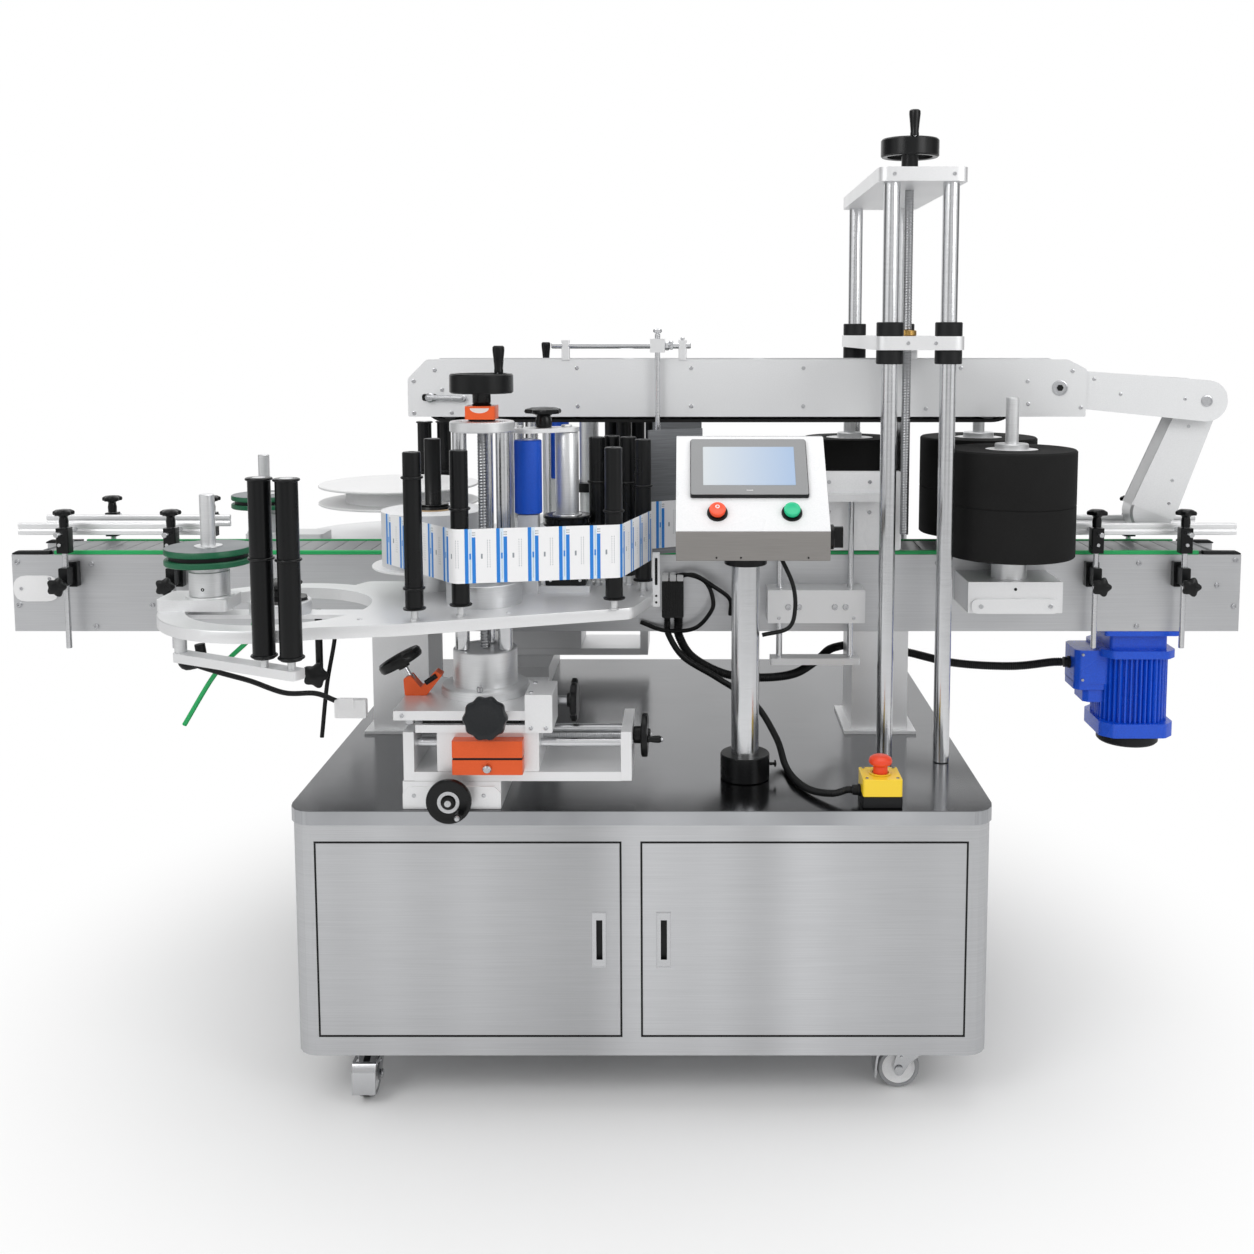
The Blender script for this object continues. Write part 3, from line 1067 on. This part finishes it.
def slide_base(side, row):
    """The fixed slide base that is bolted to the worktop."""
    base = block(BASE_X, outs(side, BASE_Y), (WORKTOP_Z + FIT, BASE_TOP_Z))
    fuse(f"slide_base_{row}", ANODISED, [base])


def cross_slide(side):
    """The frame that carries the sideways slide: floor, two end blocks and two rods."""
    floor = (FRAME_BED_Z, FRAME_BED_Z + FRAME_FLOOR)
    y = outs(side, FRAME_Y)
    solids = [block(FRAME_X, y, floor)]
    ends = ((FRAME_X[0], FRAME_X[0] + FRAME_END), (FRAME_X[1] - FRAME_END, FRAME_X[1]))
    solids += [block(x, y, (FRAME_BED_Z, FRAME_TOP_Z)) for x in ends]
    for place in (FRAME_Y[0] + FRAME_ROD_INSET, FRAME_Y[1] - FRAME_ROD_INSET):
        solids.append(rod((ends[0][1] - BITE, out(side, place), FRAME_ROD_Z),
                          (ends[1][0] + BITE, out(side, place), FRAME_ROD_Z), FRAME_ROD_R))
    return solids


def saddle(side, bed):
    """The saddle from its bed up, with its clamp, tilt plates, flange, drum, posts and cap."""
    y = outs(side, (FRAME_Y[0] + BITE, FRAME_Y[1] - BITE))
    column = (COLUMN_X, out(side, COLUMN_Y))
    flange_low = TILT_PLATE_Z[1] - BITE
    flange_top = TILT_PLATE_Z[1] + FLANGE_HEIGHT
    solids = [
        block(SADDLE_X, y, (bed, LOWER_PLATE_Z[0] + BITE)),
        block(CLAMP_X, outs(side, (FRAME_Y[1] - 2 * BITE, FRAME_Y[1] + CLAMP_OUT)), CLAMP_Z),
        block(LOWER_PLATE_X, outs(side, TILT_Y), LOWER_PLATE_Z),
        block(around(COLUMN_X, TILT_BAR_HALF), around(column[1], TILT_BAR_HALF),
              (LOWER_PLATE_Z[1] - BITE, TILT_PLATE_Z[0] + BITE)),
        block(TILT_PLATE_X, outs(side, TILT_Y), TILT_PLATE_Z),
        block(WORM_X, outs(side, WORM_Y), (LOWER_PLATE_Z[0] + BITE, WORM_TOP_Z)),
        turned(((0, flange_low), (FLANGE_R, flange_low), (FLANGE_R, flange_top), (DRUM_R, flange_top),
                (DRUM_R, DRUM_TOP_Z), (0, DRUM_TOP_Z)), (*column, 0), sides=WIDE),
        pillar(column, COLUMN_TOP_Z - COLUMN_CAP, COLUMN_TOP_Z, COLUMN_CAP_R, WIDE),
    ]
    for x, place in COLUMN_POSTS:
        solids.append(pillar((x, out(side, place)), DRUM_TOP_Z - BITE, COLUMN_TOP_Z - COLUMN_CAP + BITE,
                             COLUMN_POST_R, ROUND))
    solids.append(block(around(COLUMN_X, INDICATOR_HALF), around(column[1], INDICATOR_HALF),
                        (COLUMN_TOP_Z - BITE, COLUMN_TOP_Z + INDICATOR_HEIGHT)))
    return solids


def saddle_holes(side):
    """Cutters for the saddle's two rods and its screw, with the front head's slide."""
    middle = (FRAME_Y[0] + FRAME_Y[1]) / 2
    bars = ((FRAME_Y[0] + FRAME_ROD_INSET, FRAME_ROD_R), (FRAME_Y[1] - FRAME_ROD_INSET, FRAME_ROD_R),
            (middle, SCREW_R))
    left, right = SADDLE_X[0] - OVERRUN, SADDLE_X[1] + OVERRUN
    return [bore((left, out(side, y), FRAME_ROD_Z), (right, out(side, y), FRAME_ROD_Z), r) for y, r in bars]


def cap_hole(side):
    """The cutter for the lifting screw through the column's cap."""
    column = (COLUMN_X, out(side, COLUMN_Y))
    return bore((*column, COLUMN_TOP_Z - COLUMN_CAP - OVERRUN),
                (*column, COLUMN_TOP_Z + INDICATOR_HEIGHT + OVERRUN), LIFT_SCREW_R)


def height_wheel(side, row):
    """The hand wheel on the column with its lifting screw."""
    column = (COLUMN_X, out(side, COLUMN_Y))
    seat = COLUMN_TOP_Z + INDICATOR_HEIGHT + FIT
    grip = radians(COLUMN_GRIP_DEGREES)
    wheel = hand_wheel((*column, seat), (0, 0, 1), HAND_R, COLUMN_HUB_HEIGHT, (cos(grip), sin(grip), 0))
    screw = pillar(column, DRUM_TOP_Z + FIT, seat + COLUMN_HUB_HEIGHT / 2, LIFT_SCREW_R)
    fuse(f"height_wheel_{row}", BLACK, [*wheel, screw], pivot=(*column, seat))


def head_plate(side, row):
    """The head's base plate with its ring, sleeve, guide rollers, motor and peel plate."""
    low, high = PLATE_Z
    ring = (RING_X, out(side, RING_Y))
    corner = radians(RING_CORNER_DEGREES)
    outline = [
        (RING_X + RING_R * cos(corner), RING_Y + RING_R * sin(corner)), (PLATE_CORNER_X, PLATE_CORNER_Y),
        (PLATE_RIGHT_X, PLATE_RIGHT_Y), (PLATE_BACK_X, PLATE_SIDE_Y), (PLATE_BACK_X, PLATE_BACK_Y),
        (RING_X + RING_R * cos(corner), PLATE_BACK_Y),
    ]
    plate = prism([(x, out(side, y)) for x, y in outline], low, high)
    column = (COLUMN_X, out(side, COLUMN_Y))
    rewind_y = -REWIND_Y if side < 0 else REAR_REWIND_Y
    solids = [
        plate,
        pillar(ring, low, high, RING_R, WIDE),
        pillar(column, high - BITE, SLEEVE_TOP_Z, SLEEVE_R, WIDE),
        block(REWIND_BASE_X if side < 0 else REAR_REWIND_BASE_X, around(rewind_y, REWIND_BASE_HALF),
              (high - BITE, REWIND_BASE_TOP_Z)),
    ]
    for x, y in ROLLER_PLACES:
        profile = ((0, high - BITE), (GUIDE_STEM_R, high - BITE), (GUIDE_STEM_R, GUIDE_Z[0]),
                   (GUIDE_R, GUIDE_Z[0]), (GUIDE_R, GUIDE_Z[1]), (0, GUIDE_Z[1]))
        solids.append(turned(profile, (x, out(side, y), 0), sides=FINE))
    cuts = []
    for x, y in [*COLUMN_POSTS, (COLUMN_X, COLUMN_Y)]:
        radius = LIFT_SCREW_R if (x, y) == (COLUMN_X, COLUMN_Y) else COLUMN_POST_R
        cuts.append(bore((x, out(side, y), low - OVERRUN), (x, out(side, y), SLEEVE_TOP_Z + OVERRUN),
                         radius, ROUND))
    solids.append(block(around(DRIVE_X, STEPPER_HALF), around(out(side, DRIVE_Y), STEPPER_HALF),
                        (high - BITE, STEPPER_TOP_Z)))
    solids.append(block(around(PINCH_X, PINCH_BLOCK_HALF), around(out(side, PINCH_Y), PINCH_BLOCK_HALF),
                        (high - BITE, PINCH_Z[0] - FIT)))
    solids.append(block(PEEL_FOOT_X, outs(side, (PEEL_FOOT_Y, PLATE_BACK_Y + 2 * BITE)),
                        (low, PEEL_Z[0] + BITE)))
    start, end = Vector(PEEL_START), Vector(PEEL_END)
    across = Vector((start.y - end.y, end.x - start.x)).normalized() * PEEL_THICK
    blade = [start, end, end + across, start + across]
    solids.append(prism([(p.x, out(side, p.y)) for p in blade], *PEEL_Z))
    tray = (TRAY_X, out(side, TRAY_Y))
    if side < 0:
        solids.append(pillar(tray, high - BITE, TRAY_Z - FIT, HUB_R, ROUND))
        cuts.append(pillar(ring, low - OVERRUN, high + OVERRUN, RING_HOLE_R, WIDE))
    else:
        solids.append(pillar((REAR_TRAY_X, REAR_TRAY_Y), high - BITE, REAR_TRAY_Z - FIT, HUB_R, ROUND))
        solids.append(pillar((DRIVE_X, DRIVE_Y), STEPPER_TOP_Z - BITE, DRIVE_Z[1], DRIVE_R, ROUND))
        solids += dancer(side, low + BITE)
        solids.append(pillar((PINCH_X, PINCH_Y), PINCH_Z[0] - BITE, PINCH_Z[1], PINCH_BLOCK_HALF, ROUND))
    plate = fuse(f"head_plate_{row}", SATIN, solids, cuts)
    if side < 0:
        reach = around(RING_X, RING_HOLE_R + BITE)
        bar = block(reach, around(ring[1], RING_BAR_HALF), (low + BITE, low + BITE + RING_BAR))
        weld(plate, bar, "UNION")
        spindle = pillar(ring, low + 2 * BITE, low + RING_BAR + SPINDLE_HEIGHT, SPINDLE_R, ROUND)
        weld(plate, spindle, "UNION")


def dancer(side, pin_top):
    """The tensioning arm under the ring with its pin and its two tall rollers."""
    pivot = Vector((DANCER_PIVOT_X, out(side, DANCER_PIVOT_Y)))
    rollers = [Vector((x, out(side, y))) for x, y in DANCER_ROLLERS]
    along = ((rollers[0] + rollers[1]) / 2 - pivot).normalized()
    across = Vector((-along.y, along.x)) * DANCER_ARM_HALF
    end = rollers[0] + along * DANCER_R
    arm = [pivot - across, end - across, end + across, pivot + across]
    solids = [
        prism([tuple(p) for p in arm], *DANCER_ARM_Z),
        rod((*pivot, DANCER_ARM_Z[0]), (*pivot, pin_top), DANCER_PIN_R),
    ]
    foot = DANCER_ARM_Z[1] - BITE
    for place in rollers:
        profile = ((0, foot), (GUIDE_STEM_R, foot), (GUIDE_STEM_R, DANCER_Z[0]), (DANCER_R, DANCER_Z[0]),
                   (DANCER_R, DANCER_Z[1]), (0, DANCER_Z[1]))
        solids.append(turned(profile, (*place, 0), sides=FINE))
    return solids


def rewinder(side, row):
    """The rewinding hub: collar, grooved double disc and shaft."""
    low, high = REWIND_DISC_Z
    middle = (low + high) / 2
    groove = REWIND_DISC_R - REWIND_GROOVE
    half = REWIND_GROOVE / 2
    foot = REWIND_BASE_TOP_Z + FIT
    profile = ((0, foot), (REWIND_COLLAR_R, foot), (REWIND_COLLAR_R, low), (REWIND_DISC_R, low),
               (REWIND_DISC_R, middle - half), (groove, middle - half), (groove, middle + half),
               (REWIND_DISC_R, middle + half), (REWIND_DISC_R, high), (REWIND_SHAFT_R, high),
               (REWIND_SHAFT_R, REWIND_TOP_Z), (0, REWIND_TOP_Z))
    place = (REWIND_X, -REWIND_Y, 0) if side < 0 else (REAR_REWIND_X, REAR_REWIND_Y, 0)
    fuse(f"rewinder_{row}", GREEN, [turned(profile, place)], pivot=(place[0], place[1], foot))


def web_path():
    """The label web's path from the roll, round three guide rollers and along the peel plate, seen
    from above with the machine's outside at +Y. Straight runs are tangents, so each has the normal
    that the sizes of its two circles give."""
    step = pi / ROUND
    lift = FIT + WEB_THICK / 2
    peel_start, peel_end = Vector(PEEL_START), Vector(PEEL_END)
    square = Vector((peel_start.y - peel_end.y, peel_end.x - peel_start.x)).normalized()
    off = square * (PEEL_THICK + 2 * lift)
    stops = [(Vector((TRAY_X, TRAY_Y)), ROLL_R + lift)]
    stops += [(Vector(ROLLER_PLACES[i]), (GUIDE_R + lift) / cos(step)) for i in (1, 2, 3)]
    stops.append((peel_start + off, 0))
    normals = []
    for (a, r), (b, q) in zip(stops, stops[1:]):
        along = (b - a).normalized()
        share = (r - q) / (b - a).length
        normals.append(along * share + Vector((-along.y, along.x)) * sqrt(1 - share * share))
    path = [stops[0][0] + normals[0] * stops[0][1]]
    for i, (place, radius) in enumerate(stops[1:-1], 1):
        first = atan2(normals[i - 1].y, normals[i - 1].x)
        turn = (first - atan2(normals[i].y, normals[i].x)) % (2 * pi)
        count = ceil(turn / (2 * step))
        angles = [first - turn * k / count for k in range(count + 1)]
        path += [place + Vector((cos(a), sin(a))) * radius for a in angles]
    return [*path, peel_start + off, peel_end + off]


def front_head_parts():
    """What only the front head shows: roll, web, drive and pinch rollers, dancer and slide wheels."""
    place = (TRAY_X, -TRAY_Y, 0)
    roll_low = TRAY_Z + TRAY_THICK
    roll_top = roll_low + ROLL_HEIGHT
    profile = ((0, TRAY_Z), (TRAY_R, TRAY_Z), (TRAY_R, roll_low), (ROLL_R, roll_low), (ROLL_R, roll_top),
               (HUB_R, roll_top), (HUB_R, GUIDE_Z[1]), (0, GUIDE_Z[1]))
    fuse("label_tray_front", WHITE, [turned(profile, place, sides=WIDE)], pivot=(TRAY_X, -TRAY_Y, TRAY_Z))

    profile = ((0, STEPPER_TOP_Z + FIT), (GUIDE_STEM_R, STEPPER_TOP_Z + FIT), (GUIDE_STEM_R, DRIVE_Z[0]),
               (PULLEY_R, DRIVE_Z[0]), (PULLEY_R, DRIVE_Z[0] + PULLEY_HEIGHT),
               (DRIVE_R, DRIVE_Z[0] + PULLEY_HEIGHT), (DRIVE_R, DRIVE_Z[1]), (0, DRIVE_Z[1]))
    fuse("drive_roller", ANODISED, [turned(profile, (DRIVE_X, -DRIVE_Y, 0))],
         pivot=(DRIVE_X, -DRIVE_Y, STEPPER_TOP_Z))
    pinch = rod((PINCH_X, -PINCH_Y, PINCH_Z[0]), (PINCH_X, -PINCH_Y, PINCH_Z[1]), PINCH_R, ROUND)
    fuse("pinch_roller", BLUE, [pinch], pivot=(PINCH_X, -PINCH_Y, PINCH_Z[0]))

    fuse("dancer_arm", BLACK, dancer(-1, PLATE_Z[0] - FIT),
         pivot=(DANCER_PIVOT_X, -DANCER_PIVOT_Y, DANCER_ARM_Z[0]))

    path = web_path()
    sides = []
    for i, point in enumerate(path):
        before, after = path[max(i - 1, 0)], path[min(i + 1, len(path) - 1)]
        along = (after - before).normalized()
        normal = Vector((-along.y, along.x)) * WEB_THICK / 2
        sides.append((point + normal, point - normal))
    outline = [a for a, _ in sides] + [b for _, b in reversed(sides)]
    web = prism([(p.x, -p.y) for p in outline], *WEB_Z)
    fuse("label_web", WHITE, [web])

    middle = (FRAME_Y[0] + FRAME_Y[1]) / 2
    start = (FRAME_X[0] + FRAME_END + FIT, -middle, FRAME_ROD_Z)
    seat = (FRAME_X[1] + FIT, -middle, FRAME_ROD_Z)
    wheel = small_wheel(seat, (1, 0, 0), SMALL_HAND_R, (0, -1, 0))
    screw = rod(start, (seat[0] + HAND_RIM, *seat[1:]), SCREW_R)
    fuse("cross_wheel", BLACK, [*wheel, screw], pivot=seat)
    x = (BASE_X[0] + BASE_X[1]) / 2
    z = (WORKTOP_Z + BASE_TOP_Z) / 2
    seat = (x, INFEED_WHEEL_Y - FIT, z)
    grip = radians(INFEED_GRIP_DEGREES)
    wheel = small_wheel(seat, (0, -1, 0), SMALL_HAND_R, (cos(grip), 0, sin(grip)))
    stub = rod((x, -BASE_Y[1] - FIT, z), (x, INFEED_WHEEL_Y - HAND_RIM, z), SCREW_R)
    fuse("infeed_wheel", BLACK, [*wheel, stub], pivot=seat)


def rear_tray():
    """The rear head's label roll between two discs."""
    low, top = REAR_TRAY_Z, REAR_TRAY_Z + TRAY_THICK
    lid = top + REAR_ROLL_HEIGHT
    profile = ((0, low), (REAR_TRAY_R, low), (REAR_TRAY_R, top), (REAR_ROLL_R, top), (REAR_ROLL_R, lid),
               (REAR_TRAY_R, lid), (REAR_TRAY_R, lid + TRAY_THICK), (0, lid + TRAY_THICK))
    place = (REAR_TRAY_X, REAR_TRAY_Y, 0)
    fuse("label_tray_rear", WHITE, [turned(profile, place, sides=WIDE)],
         pivot=(REAR_TRAY_X, REAR_TRAY_Y, low))


def heads():
    """The front label head with both its slides, and the rear one that mirrors it."""
    for side, row in ((-1, "front"), (1, "rear")):
        slide_base(side, row)
        cross = cross_slide(side)
        bed = FRAME_BED_Z + FRAME_FLOOR
        if side < 0:
            middle = -(FRAME_Y[0] + FRAME_Y[1]) / 2
            hole = bore((FRAME_X[1] - FRAME_END - OVERRUN, middle, FRAME_ROD_Z),
                        (FRAME_X[1] + OVERRUN, middle, FRAME_ROD_Z), SCREW_R)
            fuse("cross_frame_front", ANODISED, cross, [hole])
            fuse("column_front", ANODISED, saddle(side, bed + FIT), [*saddle_holes(side), cap_hole(side)])
        else:
            fuse("column_rear", ANODISED, cross + saddle(side, bed - BITE), [cap_hole(side)])
        height_wheel(side, row)
        head_plate(side, row)
        rewinder(side, row)
    front_head_parts()
    rear_tray()


def smooth_route(points, radius):
    """Points about two and a half diameters apart on a smooth curve through a cable's own points."""
    line = [Vector(p) for p in points]
    padded = [2 * line[0] - line[1], *line, 2 * line[-1] - line[-2]]
    out_points = [line[0]]
    for i in range(len(line) - 1):
        a, b, c, d = padded[i:i + 4]
        count = max(1, round((c - b).length / (CABLE_STEP * radius)))
        for k in range(1, count + 1):
            t = k / count
            bend = (2 * a - 5 * b + 4 * c - d) * t**2 + (3 * b - a - 3 * c + d) * t**3
            out_points.append((2 * b + (c - a) * t + bend) / 2)
    return out_points


def cable(name, points, radius):
    """A tube with filled ends along a cable's route."""
    route = smooth_route(points, radius)
    curve = bpy.data.curves.new(name, "CURVE")
    curve.dimensions = "3D"
    curve.bevel_depth = radius
    curve.bevel_resolution = CABLE_SEGMENTS
    curve.use_fill_caps = True
    spline = curve.splines.new("POLY")
    spline.points.add(len(route) - 1)
    for slot, point in zip(spline.points, route):
        slot.co = (*point, 1)
    shape = bpy.data.objects.new(name, curve)
    bpy.context.collection.objects.link(shape)
    curve.materials.append(material(name, *BLACK))


def main():
    for old in list(bpy.data.objects):
        bpy.data.objects.remove(old)
    cabinet()
    casters()
    conveyor()
    supports()
    motor()
    spacing_wheels()
    wrap_pad()
    tower()
    beam()
    panel()
    estop()
    heads()
    cable("motor_conduit", MOTOR_CONDUIT_ROUTE, CONDUIT_R)
    cable("stop_conduit", STOP_CONDUIT_ROUTE, STOP_CONDUIT_R)


main()
